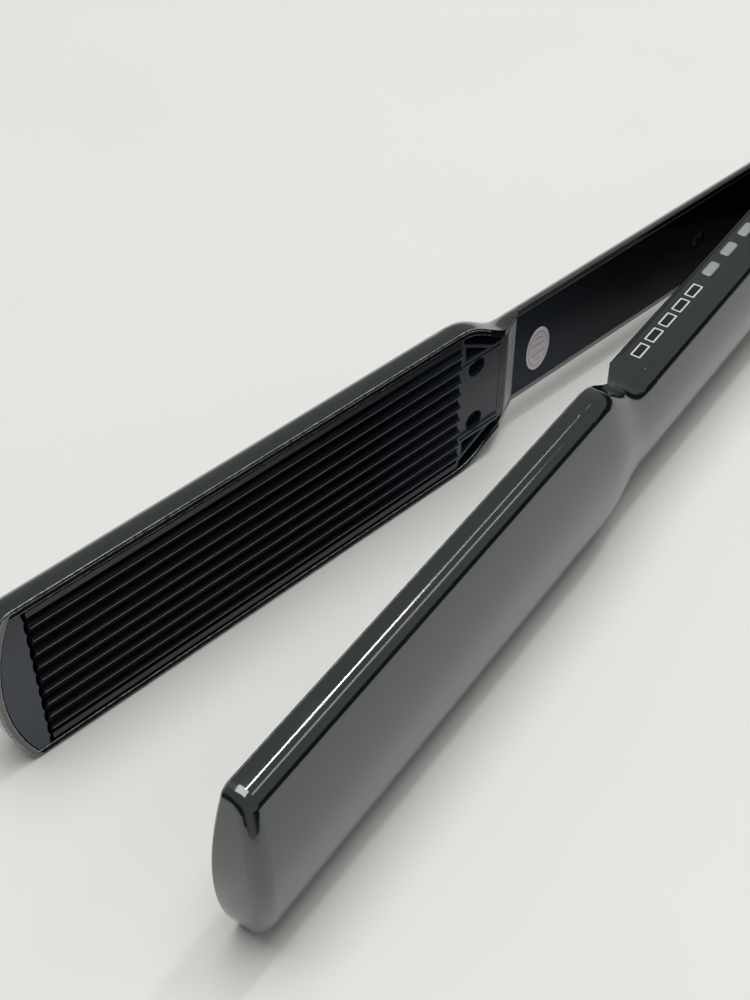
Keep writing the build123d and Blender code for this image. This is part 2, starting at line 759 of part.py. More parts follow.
with BuildPart() as line_fuse:
    fuse_level = board_back + line_fuse_radius
    fuse_ends = (line_fuse_at[0] - line_fuse_length / 2, line_fuse_at[0] + line_fuse_length / 2)
    add(rod(line_fuse_radius - fuse_glass_step, fuse_ends, line_fuse_at[1], fuse_level))
    add(rod(line_fuse_radius, (fuse_ends[0], fuse_ends[0] + fuse_collar), line_fuse_at[1], fuse_level))
    add(rod(line_fuse_radius, (fuse_ends[1] - fuse_collar, fuse_ends[1]), line_fuse_at[1], fuse_level))

with BuildPart() as lead_terminal:
    terminal_half = lead_half + terminal_margin
    add(block((board_end - terminal_length, board_end), (-terminal_half, terminal_half),
              (board_back, terminal_level + terminal_margin)))
    chamfer(lead_terminal.faces().sort_by(Axis.Z)[-1].edges().filter_by(Axis.Y), fit_gap * 3)

with BuildPart() as board_screws:
    for spot in board_screw_places:
        add(screw((*spot, board_face - screw_head_height),
                  screw_head_height + board_thickness + thread_depth - thread_end))

with BuildPart() as right_cover_screws:
    for x in right_cover_screw_places:
        length = board_back + thread_depth - cover_screw_seat
        add(screw((x, 0, cover_screw_seat - screw_head_height), screw_head_height + length - thread_end))

with BuildPart() as left_cover_screw:
    add(screw((left_cover_screw_at, 0, left_screw_seat - screw_head_height),
              screw_head_height + left_screw_floor + carrier_thread_depth - thread_end))


def carrier_screws():
    """The two screws that hold a carrier's pad on the housing's posts."""
    seat = pad_level + counterbore_depth
    reach = deck_back - seat + carrier_thread_depth
    with BuildPart() as pair:
        for spot in carrier_screw_places:
            add(screw((*spot, seat - screw_head_height), screw_head_height + reach - thread_end))
    return pair


# Hinge
with BuildPart() as hinge_pin:
    add(barrel(pin_radius, (-pin_half, pin_half)))
    chamfer(hinge_pin.edges().filter_by(GeomType.CIRCLE), pin_radius / 4)

with BuildPart() as hinge_caps:
    for side in (-1, 1):
        add(barrel(cap_radius, (side * (handle_half - cap_thickness), side * handle_half)))

with BuildPart() as hinge_washers:
    for side in (-1, 1):
        span = (side * (knuckle_half + running), side * (ear_inner - running))
        add(barrel(washer_radius, span))
        add(barrel(pin_radius + running, span), mode=Mode.SUBTRACT)

with BuildPart() as hinge_bushes:
    for side in (-1, 1):
        span = (side * knuckle_inner, side * knuckle_half)
        add(barrel(bush_radius, span))
        add(barrel(pin_radius + running, span), mode=Mode.SUBTRACT)

# Swivel gland: turns in the tail of the right arm, and takes the cord
with BuildPart() as cord_gland:
    neck = gland_seat - gland_flange - swivel_gap
    with BuildSketch(side_plane(0)):
        with BuildLine():
            Polyline((gland_seat - swivel_gap, gland_level + cord_bore_radius),
                     (gland_seat - swivel_gap, gland_level + gland_flange_radius),
                     (neck, gland_level + gland_flange_radius), (neck, gland_level + gland_radius),
                     (-right_tail - swivel_gap, gland_level + gland_radius),
                     (-right_tail - swivel_gap, gland_level + gland_flange_radius),
                     (-right_tail - gland_flange, gland_level + gland_flange_radius),
                     (-right_tail - gland_reach, gland_level + gland_end_radius),
                     (-right_tail - gland_reach, gland_level + cord_bore_radius), close=True)
        make_face()
    revolve(axis=Axis((0, 0, gland_level), (1, 0, 0)))

with BuildPart() as inspection_sticker:
    with BuildSketch(Plane.XY.offset(panel_level - sticker_thickness)):
        with Locations(sticker_at):
            Ellipse(*sticker_reach)
    extrude(amount=sticker_thickness)

with BuildPart() as thermal_fuse:
    level = plate_foot + fuse_radius
    add(rod(fuse_radius, (sensor_at - fuse_length / 2, sensor_at + fuse_length / 2), sensor_side, level))

with BuildPart() as thermistor:
    level = plate_foot + bead_radius
    add(rod(bead_radius, (sensor_at - bead_length / 2, sensor_at + bead_length / 2), sensor_side, level))


def spring_point(angle):
    """A point on the coil, by the angle wound since the leg on the right arm."""
    around = Vector(-sin(radians(angle)), 0, cos(radians(angle))) * coil_radius
    return around + Vector(0, -leg_side + 2 * leg_side * angle / coil_angle, 0)


def spring_heading(angle):
    """The wire's direction there."""
    along = Vector(-cos(radians(angle)), 0, -sin(radians(angle))) * (coil_radius * radians(coil_angle))
    return (along + Vector(0, 2 * leg_side, 0)).normalized()


def biarc(start, start_heading, end, end_heading):
    """Two arcs that leave start and reach end along the given headings."""
    span, sum_heading = end - start, start_heading + end_heading
    a = 2 * (1 - start_heading.dot(end_heading))
    b = span.dot(sum_heading)
    reach = (-b + sqrt(b * b + a * span.dot(span))) / a
    middle = (start + end + (start_heading - end_heading) * reach) / 2
    return [Edge.make_tangent_arc(start, start_heading, middle),
            Edge.make_tangent_arc(end, -end_heading, middle)]


# Return spring: one wire, wound round the pin, with a leg under each arm
quarters = round(coil_angle / 90)
stops = [coil_angle * i / quarters for i in range(quarters + 1)]
leg_start = spring_point(0) - spring_heading(0) * leg_length
leg_end = spring_point(coil_angle) + spring_heading(coil_angle) * leg_length
spring_path = [Edge.make_line(leg_start, spring_point(0))]
for a, b in zip(stops, stops[1:]):
    spring_path += biarc(spring_point(a), spring_heading(a), spring_point(b), spring_heading(b))
spring_path.append(Edge.make_line(spring_point(coil_angle), leg_end))
spring_line = Wire(spring_path)
with BuildPart() as return_spring:
    with BuildSketch(Plane(origin=leg_start, z_dir=spring_heading(0))) as wire_section:
        RegularPolygon(wire / 2, wire_sides)
    sweep(path=spring_line)
along = [arc.position_at(i / arc_samples) for arc in spring_path[1:-1] for i in range(arc_samples)]
half_turn = 4 * arc_samples
nearest = min((b - a).length for i, a in enumerate(along) for b in along[i + half_turn:])
print("return spring: least gap to itself", round(nearest - wire, 2), "mm, volume",
      round(return_spring.part.volume, 2), "mm3, section times length",
      round(wire_section.sketch.area * spring_line.length, 2), "mm3")

# Every piece in its place
for piece, label in (
    (right_outer_housing, "right_outer_housing"), (right_inner_cover, "right_inner_cover"),
    (control_board, "control_board"), (controller_chip, "controller_chip"), (triac, "triac"),
    (filter_capacitor, "filter_capacitor"), (line_fuse, "line_fuse"), (lead_terminal, "lead_terminal"),
    (tact_switch_row(), "tact_switches"), (light_guide, "light_guide"), (status_leds, "status_leds"),
    (board_screws, "board_screws"), (right_cover_screws, "right_cover_screws"),
    (thermistor, "thermistor"), (hinge_pin, "hinge_pin"), (hinge_caps, "hinge_caps"),
    (hinge_washers, "hinge_washers"), (return_spring, "return_spring"), (cord_gland, "cord_gland"),
    (button_cap(button_places[2]), "power_button"),
    (button_cap(button_places[1]), "temperature_down_button"),
    (button_cap(button_places[0]), "temperature_up_button"),
):
    place(piece, label, right_arm)

for piece, label in (
    (left_outer_housing, "left_outer_housing"), (left_inner_cover, "left_inner_cover"),
    (left_cover_screw, "left_cover_screw"), (thermal_fuse, "thermal_fuse"),
    (hinge_bushes, "hinge_bushes"), (inspection_sticker, "inspection_sticker"),
):
    place(piece, label, left_arm)

to_block = [(hinge_block, lead_level)]
to_terminal = [(board_end + lead_drop, lead_level), (board_end + lead_turn, terminal_level),
               (board_end, terminal_level)]
for label, arm, crests, back, far_end in (
    ("left", left_arm, left_crests, panel_slope_front + fit_gap, to_block),
    ("right", right_arm, right_crests, cover_front + fit_gap, to_terminal),
):
    place(plate_carrier(back, 0 if crests % 2 else pitch / 2), f"{label}_plate_carrier", arm)
    place(heating_plate(crests), f"{label}_heating_plate", arm)
    place(ceramic_heater(), f"{label}_ceramic_heater", arm)
    place(insulating_sheet(), f"{label}_insulating_sheet", arm)
    place(heater_clamp(), f"{label}_heater_clamp", arm)
    place(leads(far_end), f"{label}_heater_leads", arm)
    place(carrier_screws(), f"{label}_carrier_screws", arm)
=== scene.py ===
import json
from math import cos, pi, radians, sin, sqrt

import bmesh
import bpy
from mathutils import Matrix, Vector


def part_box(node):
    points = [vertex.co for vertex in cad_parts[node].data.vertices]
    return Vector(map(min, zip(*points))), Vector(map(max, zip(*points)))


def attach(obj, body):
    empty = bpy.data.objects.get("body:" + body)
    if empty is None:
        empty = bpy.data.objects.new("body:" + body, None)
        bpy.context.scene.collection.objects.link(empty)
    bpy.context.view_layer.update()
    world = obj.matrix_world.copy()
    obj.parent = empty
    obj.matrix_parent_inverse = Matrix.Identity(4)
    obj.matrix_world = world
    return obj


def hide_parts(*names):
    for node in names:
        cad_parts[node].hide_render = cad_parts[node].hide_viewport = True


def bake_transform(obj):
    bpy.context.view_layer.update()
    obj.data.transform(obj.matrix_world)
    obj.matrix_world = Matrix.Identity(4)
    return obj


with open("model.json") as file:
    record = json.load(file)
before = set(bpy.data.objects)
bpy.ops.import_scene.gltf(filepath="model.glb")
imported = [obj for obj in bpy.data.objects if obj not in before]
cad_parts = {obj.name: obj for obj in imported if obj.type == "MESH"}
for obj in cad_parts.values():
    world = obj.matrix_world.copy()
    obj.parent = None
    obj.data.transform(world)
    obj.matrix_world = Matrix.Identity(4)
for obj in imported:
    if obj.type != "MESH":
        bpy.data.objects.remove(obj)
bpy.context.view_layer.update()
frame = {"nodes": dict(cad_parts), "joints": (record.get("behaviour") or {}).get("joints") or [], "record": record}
nodes = frame["nodes"]
print("frame loaded,", len(nodes), "nodes")

mm = 0.001
hinge = Vector(next(j for j in frame["joints"] if j["name"] == "arm_hinge")["pos_m"])
openAngle = radians(12.2)   # between the arms as they lie


def armFrame(along, outward):
    # x runs from the hinge to the tip, y across the arm, and z outwards from the plane where the
    # arms meet; all in mm
    x, z = Vector(along), Vector(outward)
    turn = Matrix((x, z.cross(x), z)).transposed().to_4x4()
    return Matrix.Translation(hinge) @ turn @ Matrix.Scale(mm, 4)


armFrames = {
    "right": armFrame((-1, 0, 0), (0, -1, 0)),
    "left": armFrame((-cos(openAngle), sin(openAngle), 0), (sin(openAngle), cos(openAngle), 0)),
}

# Camera
camera = {
    "place": (-191.7, -114.7, 280.8),   # mm
    "heading": 34.5,                    # from +X towards +Y, degrees
    "pitch": 44.69,                     # below the horizon, degrees
    "lens": 57.1, "sensor": 36,         # mm
    "clip": (0.01, 20),                 # nearest and farthest, metres
}


def makeCamera(v):
    data = bpy.data.cameras.new("camera")
    data.lens, data.sensor_width = v["lens"], v["sensor"]
    data.clip_start, data.clip_end = v["clip"]
    cam = bpy.data.objects.new("camera", data)
    bpy.context.scene.collection.objects.link(cam)
    heading, pitch = radians(v["heading"]), radians(v["pitch"])
    forward = Vector((cos(heading) * cos(pitch), sin(heading) * cos(pitch), -sin(pitch)))
    cam.location = Vector(v["place"]) * mm
    cam.rotation_mode = "QUATERNION"
    cam.rotation_quaternion = forward.to_track_quat("-Z", "Y")
    bpy.context.scene.camera = cam


makeCamera(camera)
bpy.context.scene.view_settings.view_transform = "Standard"
print("camera set")

# Node helpers
noiseReach = (0.3, 0.7)   # nearly all values of a noise texture lie between these
waveBand = pi / 10        # how wide one band of a wave texture is at scale 1
bevelSamples = 6          # rays for each rounded edge


def hexToLinear(code):
    # sRGB hex to the linear values that the shaders take
    parts = [int(code[i:i + 2], 16) / 255 for i in (1, 3, 5)]
    linear = [c / 12.92 if c <= 0.04045 else ((c + 0.055) / 1.055) ** 2.4 for c in parts]
    return (*linear, 1.0)


def addNode(tree, kind, values=None, links=None, **settings):
    # one node with its settings, its socket values and what feeds it
    node = tree.nodes.new(kind)
    for name, value in settings.items():
        setattr(node, name, value)
    for name, value in (values or {}).items():
        node.inputs[name].default_value = value
    for name, source in (links or {}).items():
        tree.links.new(source, node.inputs[name])
    return node


def perMillimetre(size):
    # texture scale for a pattern whose features are this many millimetres across
    return 1 / (size * mm)


def addVariation(tree, place, size, low, high, detail=3.0):
    # a value that wanders between low and high, in patches of that size in mm
    noise = addNode(tree, "ShaderNodeTexNoise",
                    {"Scale": perMillimetre(size), "Detail": detail}, {"Vector": place})
    return addNode(tree, "ShaderNodeMapRange", {
        "From Min": noiseReach[0], "From Max": noiseReach[1], "To Min": low, "To Max": high,
    }, {"Value": noise.outputs["Fac"]}).outputs[0]


def startMaterial(name, v):
    # a Principled surface with the plain values of a finish; where it has patches of a size in mm,
    # its roughness wanders up and down by its spread
    material = bpy.data.materials.new(name)
    material.use_nodes = True
    tree = material.node_tree
    tree.nodes.clear()
    surface = addNode(tree, "ShaderNodeBsdfPrincipled", {
        "Base Color": hexToLinear(v["colour"]),
        "Roughness": v["roughness"],
        "Metallic": v.get("metallic", 0.0),
        "IOR": v.get("ior", 1.5),   # that of most plastics, and the default that metals keep
    })
    addNode(tree, "ShaderNodeOutputMaterial", links={"Surface": surface.outputs[0]})
    place = addNode(tree, "ShaderNodeTexCoord").outputs["Object"]
    if "patch" in v:
        low, high = v["roughness"] - v["spread"], v["roughness"] + v["spread"]
        wander = addVariation(tree, place, v["patch"], low, high)
        tree.links.new(wander, surface.inputs["Roughness"])
    return material, tree, surface, place


def addGrain(tree, surface, place, v):
    # grainDepth is how far the grain stands proud, and softEdge the radius at which sharp edges
    # catch light, all in mm
    grain = addNode(tree, "ShaderNodeTexNoise",
                    {"Scale": perMillimetre(v["grain"]), "Detail": v["grainDetail"]},
                    {"Vector": place})
    bump = addNode(tree, "ShaderNodeBump", {"Distance": v["grainDepth"] * mm},
                   {"Height": grain.outputs["Fac"]})
    if "softEdge" in v:
        edge = addNode(tree, "ShaderNodeBevel", {"Radius": v["softEdge"] * mm},
                       samples=bevelSamples)
        tree.links.new(edge.outputs[0], bump.inputs["Normal"])
    tree.links.new(bump.outputs[0], surface.inputs["Normal"])


def addSecondColour(tree, surface, colour, second, share):
    # the surface goes over from its colour to a second one where the share nears 1
    mix = addNode(tree, "ShaderNodeMix", {"A": hexToLinear(colour), "B": hexToLinear(second)},
                  {"Factor": share}, data_type="RGBA")
    tree.links.new(mix.outputs["Result"], surface.inputs["Base Color"])


def addPaintedShade(tree, surface, place, arm, v):
    # painted shade: the colour turns to the darker second colour from one point of the arm's frame to another, in
    # mm
    start, end = (armFrames[arm] @ Vector(point) for point in v["shadeLine"])
    way = (end - start) / (end - start).length_squared
    away = addNode(tree, "ShaderNodeVectorMath", {1: start}, {0: place}, operation="SUBTRACT")
    share = addNode(tree, "ShaderNodeVectorMath", {1: way}, {0: away.outputs[0]},
                    operation="DOT_PRODUCT")
    soft = addNode(tree, "ShaderNodeMapRange", links={"Value": share.outputs["Value"]},
                   interpolation_type="SMOOTHSTEP")
    addSecondColour(tree, surface, v["colour"], v["shadeColour"], soft.outputs[0])


def addArmPlace(tree, place, arm, axis):
    # how far a point lies along one axis of the arm's frame, in mm
    away = addNode(tree, "ShaderNodeVectorMath", {1: hinge}, {0: place}, operation="SUBTRACT")
    way = armFrames[arm].to_3x3().col[axis] / mm ** 2
    return addNode(tree, "ShaderNodeVectorMath", {1: way}, {0: away.outputs[0]},
                   operation="DOT_PRODUCT").outputs["Value"]


def addPaintedEdgeHighlight(tree, surface, place, arm, v):
    # painted highlight: the heads' edges near where the arms meet are painted pale in an uneven line, standing in
    # for the light they catch
    rounded = addNode(tree, "ShaderNodeBevel", {"Radius": v["edgeHighlightRadius"] * mm},
                      samples=bevelSamples).outputs[0]
    flat = addNode(tree, "ShaderNodeNewGeometry").outputs["Normal"]
    same = addNode(tree, "ShaderNodeVectorMath", links={0: rounded, 1: flat},
                   operation="DOT_PRODUCT").outputs["Value"]
    start, full = v["edgeHighlightTurn"]
    edge = addNode(tree, "ShaderNodeMapRange", {"From Min": start, "From Max": full},
                   {"Value": same}).outputs[0]
    uneven = addVariation(tree, place, v["edgeHighlightGrain"], *v["edgeHighlightShare"], v["edgeHighlightDetail"])
    near = addNode(tree, "ShaderNodeMath", {1: v["edgeHighlightReach"]},
                   {0: addArmPlace(tree, place, arm, 2)}, operation="LESS_THAN").outputs[0]
    head = addNode(tree, "ShaderNodeMath", {1: v["edgeHighlightFrom"]},
                   {0: addArmPlace(tree, place, arm, 0)}, operation="GREATER_THAN").outputs[0]
    share = addNode(tree, "ShaderNodeMath", links={0: edge, 1: uneven}, operation="MULTIPLY",
                    use_clamp=True).outputs[0]
    for mask in (near, head):
        share = addNode(tree, "ShaderNodeMath", links={0: share, 1: mask},
                        operation="MULTIPLY").outputs[0]
    addSecondColour(tree, surface, v["colour"], v["edgeHighlight"], share)


# Materials, each started from the real one; sizes in mm
# ABS from a polished mould: deep black with a clear mirror, a faint orange peel and a thin haze
glossAbs = {
    "colour": "#0a1816", "ior": 2.1, "roughness": 0.095, "spread": 0.035, "patch": 14.0,
    "grain": 0.9, "grainDepth": 0.005, "grainDetail": 2.0, "softEdge": 0.3,
    # the pale line along the heads' rim edges is a painted highlight, not wear
    "edgeHighlight": "#e4eae8", "edgeHighlightRadius": 0.34,
    "edgeHighlightTurn": (0.995, 0.94),   # cosines of the turn where the painted highlight starts and is full
    "edgeHighlightGrain": 1.0, "edgeHighlightShare": (0.2, 1.0), "edgeHighlightDetail": 2.0,
    "edgeHighlightReach": 0.65,           # from the plane where the arms meet
    "edgeHighlightFrom": 145,             # from the hinge, along the arm
}
# painted shade: the narrow rim where the arms meet takes a blacker copy of the shell, dull and weakly reflecting
shadedRimAbs = {**glossAbs, "colour": "#050606", "ior": 1.12, "roughness": 0.34, "spread": 0.06}


def mouldedAbs(name, arm, v):
    material, tree, surface, place = startMaterial(name + arm.capitalize(), v)
    addGrain(tree, surface, place, v)
    # paints the pale highlight along the rims of the heads
    addPaintedEdgeHighlight(tree, surface, place, arm, v)
    return material


# glass-filled nylon from an etched mould: a blue-black, even satin with a fine grain
etchedNylon = {"colour": "#262f3e", "ior": 1.53, "roughness": 0.35, "spread": 0.07, "patch": 9.0,
               "grain": 0.35, "grainDepth": 0.004, "grainDetail": 3.0, "softEdge": 0.2}
# the left cover is polished, smooth enough to show the other arm and the table; a painted shade darkens it from
# the corner near the slope to the one towards the hinge
polishedNylon = {**etchedNylon, "colour": "#2b3342", "ior": 1.13, "roughness": 0.195,
                 "spread": 0.045, "patch": 12.0, "grain": 0.8, "grainDepth": 0.003,
                 "shadeLine": ((128, -14, 6), (95, 14, 6)), "shadeColour": "#05070b"}
# the slope in front of that panel is painted pale and reflects strongly: a painted reflection of the bright room
paintedReflectionNylon = {**etchedNylon, "colour": "#8a8e91", "ior": 2.2, "roughness": 0.25, "spread": 0.05}


def mouldedNylon(name, v):
    material, tree, surface, place = startMaterial(name, v)
    addGrain(tree, surface, place, v)
    # the painted shade, where the finish has one
    if "shadeLine" in v:
        addPaintedShade(tree, surface, place, "left", v)
    return material


# extruded aluminium under a fired ceramic coat, drawn lightly along its length
coat = {"spread": 0.06, "patch": 11.0, "grain": 0.3, "grainDepth": 0.0025, "grainDetail": 2.0,
        "stretch": 60.0}   # how many times as long as wide the drawn marks are
coats = {
    # the flat lands: a blue-black satin
    "Land": {**coat, "colour": "#10161f", "roughness": 0.3},
    # the grooves: painted shade, almost black, duller and weakly reflecting, and darkening along the arm
    "ShadedGroove": {**coat, "colour": "#1b212d", "ior": 1.18, "roughness": 0.36,
               "shadeLine": ((150, 0, 0), (190, 0, 0)), "shadeColour": "#04080f"},
    # the crests: their flats painted a thin grey line, a painted highlight
    "HighlightCrest": {**coat, "colour": "#7f848a", "roughness": 0.38},
}


def coatedAluminium(arm, stretch):
    v = coats[stretch]
    name = "coatedAluminium" + arm.capitalize() + stretch
    material, tree, surface, place = startMaterial(name, v)
    drawn = addNode(tree, "ShaderNodeMapping", {
        "Rotation": (0, 0, openAngle if arm == "left" else 0),
        "Scale": (1 / v["stretch"], 1, 1),
    }, {"Vector": place})
    addGrain(tree, surface, drawn.outputs[0], v)
    # the painted shade, where the coat has one
    if "shadeLine" in v:
        addPaintedShade(tree, surface, place, arm, v)
    return material


# a small oval paper label, lilac-white and slightly glossy, with a faint red ring and wavy bars
label = {
    "colour": "#efecf3", "ink": "#e2c6c2", "roughness": 0.4,
    "reach": (4.3, 6.7),                            # half of its width and of its height
    "ring": 0.8, "ringHalf": 0.05, "barsEnd": 0.6,  # shares of that reach
    "barPitch": 2.3562, "barLevel": 0.66,           # the wave's level above which there is ink
    "waver": 5.0, "waverDetail": 2.0, "waverScale": 1.5,
}


def coatedPaper(v):
    material, tree, surface, place = startMaterial("coatedPaper", v)
    low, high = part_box("inspection_sticker")
    middle = (Vector(low) + Vector(high)) / 2
    away = addNode(tree, "ShaderNodeVectorMath", {1: middle}, {0: place}, operation="SUBTRACT")
    turned = addNode(tree, "ShaderNodeMapping", {"Rotation": (0, 0, openAngle)},
                     {"Vector": away.outputs[0]}).outputs[0]
    wide, tall = (perMillimetre(reach) for reach in v["reach"])
    oval = addNode(tree, "ShaderNodeVectorMath", {1: Vector((wide, 0, tall))}, {0: turned},
                   operation="MULTIPLY").outputs[0]
    out = addNode(tree, "ShaderNodeVectorMath", links={0: oval},
                  operation="LENGTH").outputs["Value"]
    ring = addNode(tree, "ShaderNodeMath", {1: v["ring"], 2: v["ringHalf"]}, {0: out},
                   operation="COMPARE").outputs[0]
    wave = addNode(tree, "ShaderNodeTexWave", {
        "Scale": waveBand * perMillimetre(v["barPitch"]), "Distortion": v["waver"],
        "Detail": v["waverDetail"], "Detail Scale": v["waverScale"],
    }, {"Vector": turned}, bands_direction="Z").outputs["Fac"]
    bars = addNode(tree, "ShaderNodeMath", {1: v["barLevel"]}, {0: wave},
                   operation="GREATER_THAN").outputs[0]
    inside = addNode(tree, "ShaderNodeMath", {1: v["barsEnd"]}, {0: out},
                     operation="LESS_THAN").outputs[0]
    marks = addNode(tree, "ShaderNodeMath", links={0: bars, 1: inside},
                    operation="MULTIPLY").outputs[0]
    ink = addNode(tree, "ShaderNodeMath", links={0: ring, 1: marks},
                  operation="MAXIMUM").outputs[0]
    addSecondColour(tree, surface, v["colour"], v["ink"], ink)
    return material


# the smaller parts: one colour each, with a grain and a roughness that wanders a little
plain = {"spread": 0.08, "patch": 6.0, "grain": 0.5, "grainDepth": 0.003, "grainDetail": 2.0,
         "softEdge": 0.15}


def plainFinish(name, colour, roughness, **changes):
    v = {**plain, "colour": colour, "roughness": roughness, **changes}
    material, tree, surface, place = startMaterial(name, v)
    addGrain(tree, surface, place, v)
    return material


shellAbs = {arm: mouldedAbs("mouldedGlossAbs", arm, glossAbs) for arm in armFrames}
shadedRimMaterials = {arm: mouldedAbs("shadedRimAbs", arm, shadedRimAbs) for arm in armFrames}
satinNylon = mouldedNylon("etchedNylon", etchedNylon)
finishes = {
    "gloss_shell": shellAbs["right"],
    "satin_frame": satinNylon,
    # silver paint on ABS: a soft sheen, half metallic
    "silver_button": plainFinish("paintedSilverAbs", "#aab0ac", 0.34, metallic=0.4, grain=0.4),
    # smoked acrylic: dark, and glossy enough to show lights
    "clear_guide": plainFinish("smokedAcrylic", "#1b1e1e", 0.16, grain=2.0, grainDepth=0.002),
    "sticker": coatedPaper(label),
    # alumina, pressed and sintered: chalky, with a coarse grain
    "white_ceramic": plainFinish("sinteredAlumina", "#dedad0", 0.6, grain=0.4, grainDepth=0.006),
    # cast polyimide: an amber film with a sheen
    "insulator": plainFinish("polyimideFilm", "#a4621a", 0.25),
    # steel, tempered and zinc plated: bright metals that blur what they show
    "spring_steel": plainFinish("temperedSpringSteel", "#8f8f8c", 0.32, metallic=1.0),
    "plated_screw": plainFinish("zincPlatedSteel", "#a3a3a0", 0.3, metallic=1.0),
    # cured solder mask: a green varnish
    "board_green": plainFinish("solderMask", "#1d4a2a", 0.3),
    # moulded epoxy: a dull black
    "part_black": plainFinish("mouldedEpoxy", "#141414", 0.55),
    # extruded silicone: a soft white without shine
    "lead_white": plainFinish("siliconeSleeve", "#d8d6d0", 0.5),
    # moulded acetal: cream and slightly waxy
    "bush_plastic": plainFinish("mouldedAcetal", "#cfcab8", 0.4),
}
plateFinish = {arm: [coatedAluminium(arm, stretch) for stretch in coats]
               for arm in ("left", "right")}
finishes["coated_plate"] = plateFinish["right"][0]
coverNylon = mouldedNylon("polishedNylon", polishedNylon)
# blackened steel: dark screws that glint at their rims
blackSteel = plainFinish("blackenedSteel", "#34363a", 0.34, metallic=1.0)
# pieces whose finish isn't the one of their slot; the gland is polyamide, moulded: a satin black
ownFinishes = {
    "left_outer_housing": shellAbs["left"],
    "left_inner_cover": coverNylon,
    "left_carrier_screws": blackSteel,
    "right_carrier_screws": blackSteel,
    "left_cover_screw": blackSteel,
    "right_cover_screws": blackSteel,
    "cord_gland": plainFinish("mouldedPolyamide", "#17191a", 0.42),
}
# screen-printed ink: an even, dull white
whitePrint = plainFinish("screenPrintedWhite", "#d6d9d6", 0.5, grain=0.3, grainDepth=0.002)
print("materials made:", len(bpy.data.materials))

for part in frame["record"]["subparts"]:
    material = ownFinishes.get(part["node"], finishes[part["material_slot"]])
    nodes[part["node"]].data.materials.clear()
    nodes[part["node"]].data.materials.append(material)

# Stretches of a node with a finish of their own: places along the arm and outwards, in mm
# the rim along the heads, between the arms, takes that painted shade
shadedRimFaces = {"along": (140, 279), "depth": (-0.05, 0.38)}
slopeFaces = {"along": (131, 136.5), "depth": (-1, 10)}
footFaces = {"along": (136.5, 141), "depth": (-1, 10)}


def finishFaces(node, arm, material, along, depth):
    # the faces whose middles lie between these places take the material
    data = nodes[node].data
    data.materials.append(material)
    toArm = armFrames[arm].inverted()
    for polygon in data.polygons:
        x, y, z = toArm @ polygon.center
        if along[0] < x < along[1] and depth[0] < z < depth[1]:
            polygon.material_index = len(data.materials) - 1


for arm in armFrames:
    finishFaces(arm + "_outer_housing", arm, shadedRimMaterials[arm], **shadedRimFaces)
# the slope takes the painted reflection, its foot the pad's satin
finishFaces("left_inner_cover", "left", mouldedNylon("paintedReflectionNylon", paintedReflectionNylon), **slopeFaces)
finishFaces("left_inner_cover", "left", satinNylon, **footFaces)
print("nodes finished")


# Mesh helpers
def newPiece(name, points, faces, arm, materials, smoothAngle=30):
    # a mesh from points in an arm's own frame, in mm, that goes with that arm
    data = bpy.data.meshes.new(name)
    data.from_pydata([armFrames[arm] @ Vector(p) for p in points], [], faces)
    data.update()
    shape = bmesh.new()
    shape.from_mesh(data)
    bmesh.ops.recalc_face_normals(shape, faces=shape.faces)
    shape.to_mesh(data)
    shape.free()
    data.polygons.foreach_set("use_smooth", [True] * len(data.polygons))
    data.set_sharp_from_angle(angle=radians(smoothAngle))
    for material in materials:
        data.materials.append(material)
    piece = bpy.data.objects.new(name, data)
    bpy.context.scene.collection.objects.link(piece)
    body = arm + "_arm"
    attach(piece, body)
    return piece


def roundedBox(length, width, radius, steps):
    # corners of a rectangle with round corners, about its middle
    points = []
    for quarter, (sx, sy) in enumerate(((1, 1), (-1, 1), (-1, -1), (1, -1))):
        cx, cy = sx * (length / 2 - radius), sy * (width / 2 - radius)
        for i in range(steps + 1):
            a = (quarter + i / steps) * pi / 2
            points.append((cx + radius * cos(a), cy + radius * sin(a)))
    return points


# Printed outlines of the five windows on the right arm's upper side, in mm
outline = {
    "count": 5, "first": 95.1, "pitch": 7.15,              # along the arm
    "side": -15.0, "proud": 0.02, "level": 0.5,            # the arm's face, and the place on it
    "length": 5.55, "height": 2.7, "stroke": 0.42,
    "corner": 0.25, "innerCorner": 0.25 / 3, "cornerSteps": 4,
}


def windowOutlines(v):
    outer = roundedBox(v["length"], v["height"], v["corner"], v["cornerSteps"])
    inner = roundedBox(v["length"] - 2 * v["stroke"], v["height"] - 2 * v["stroke"],
                       v["innerCorner"], v["cornerSteps"])
    sides = (v["side"] - v["proud"], v["side"] + v["proud"])
    n = len(outer)
    faces = []
    for k in range(n):
        m = (k + 1) % n
        faces.append((k, m, n + m, n + k))
        faces.append((2 * n + k, 3 * n + k, 3 * n + m, 2 * n + m))
        faces.append((k, 2 * n + k, 2 * n + m, m))
        faces.append((n + k, n + m, 3 * n + m, 3 * n + k))
    for i in range(v["count"]):
        x = v["first"] + i * v["pitch"]
        points = [(x + a, y, v["level"] + b) for y in sides for a, b in outer + inner]
        newPiece(f"window_outline_{i + 1}", points, faces, "right", [whitePrint])


windowOutlines(outline)
print("window outlines made")

# Heating plates: crests with a narrow flat and soft corners, so each one catches its own thin
# light; in mm
plateShape = {
    "start": 154.6, "length": 124.0,                    # along the arm
    "half": 20.4, "bodyHalf": 18.6, "landWidth": 1.6,   # across it
    "proud": 0.4,   # how far the crests stand past the plane where the arms meet
    "land": 0.3, "valley": 0.9, "flangeFoot": 2.0, "foot": 3.0,   # outwards from that plane
    "crests": {"left": 9, "right": 8}, "pitch": 4.08, "flat": 0.46, "valleySteps": 14,
    "corner": 0.14, "flare": 0.3, "brow": 0.25, "join": 0.5,   # the last three in corners
    "smoothAngle": 24,   # degrees
}


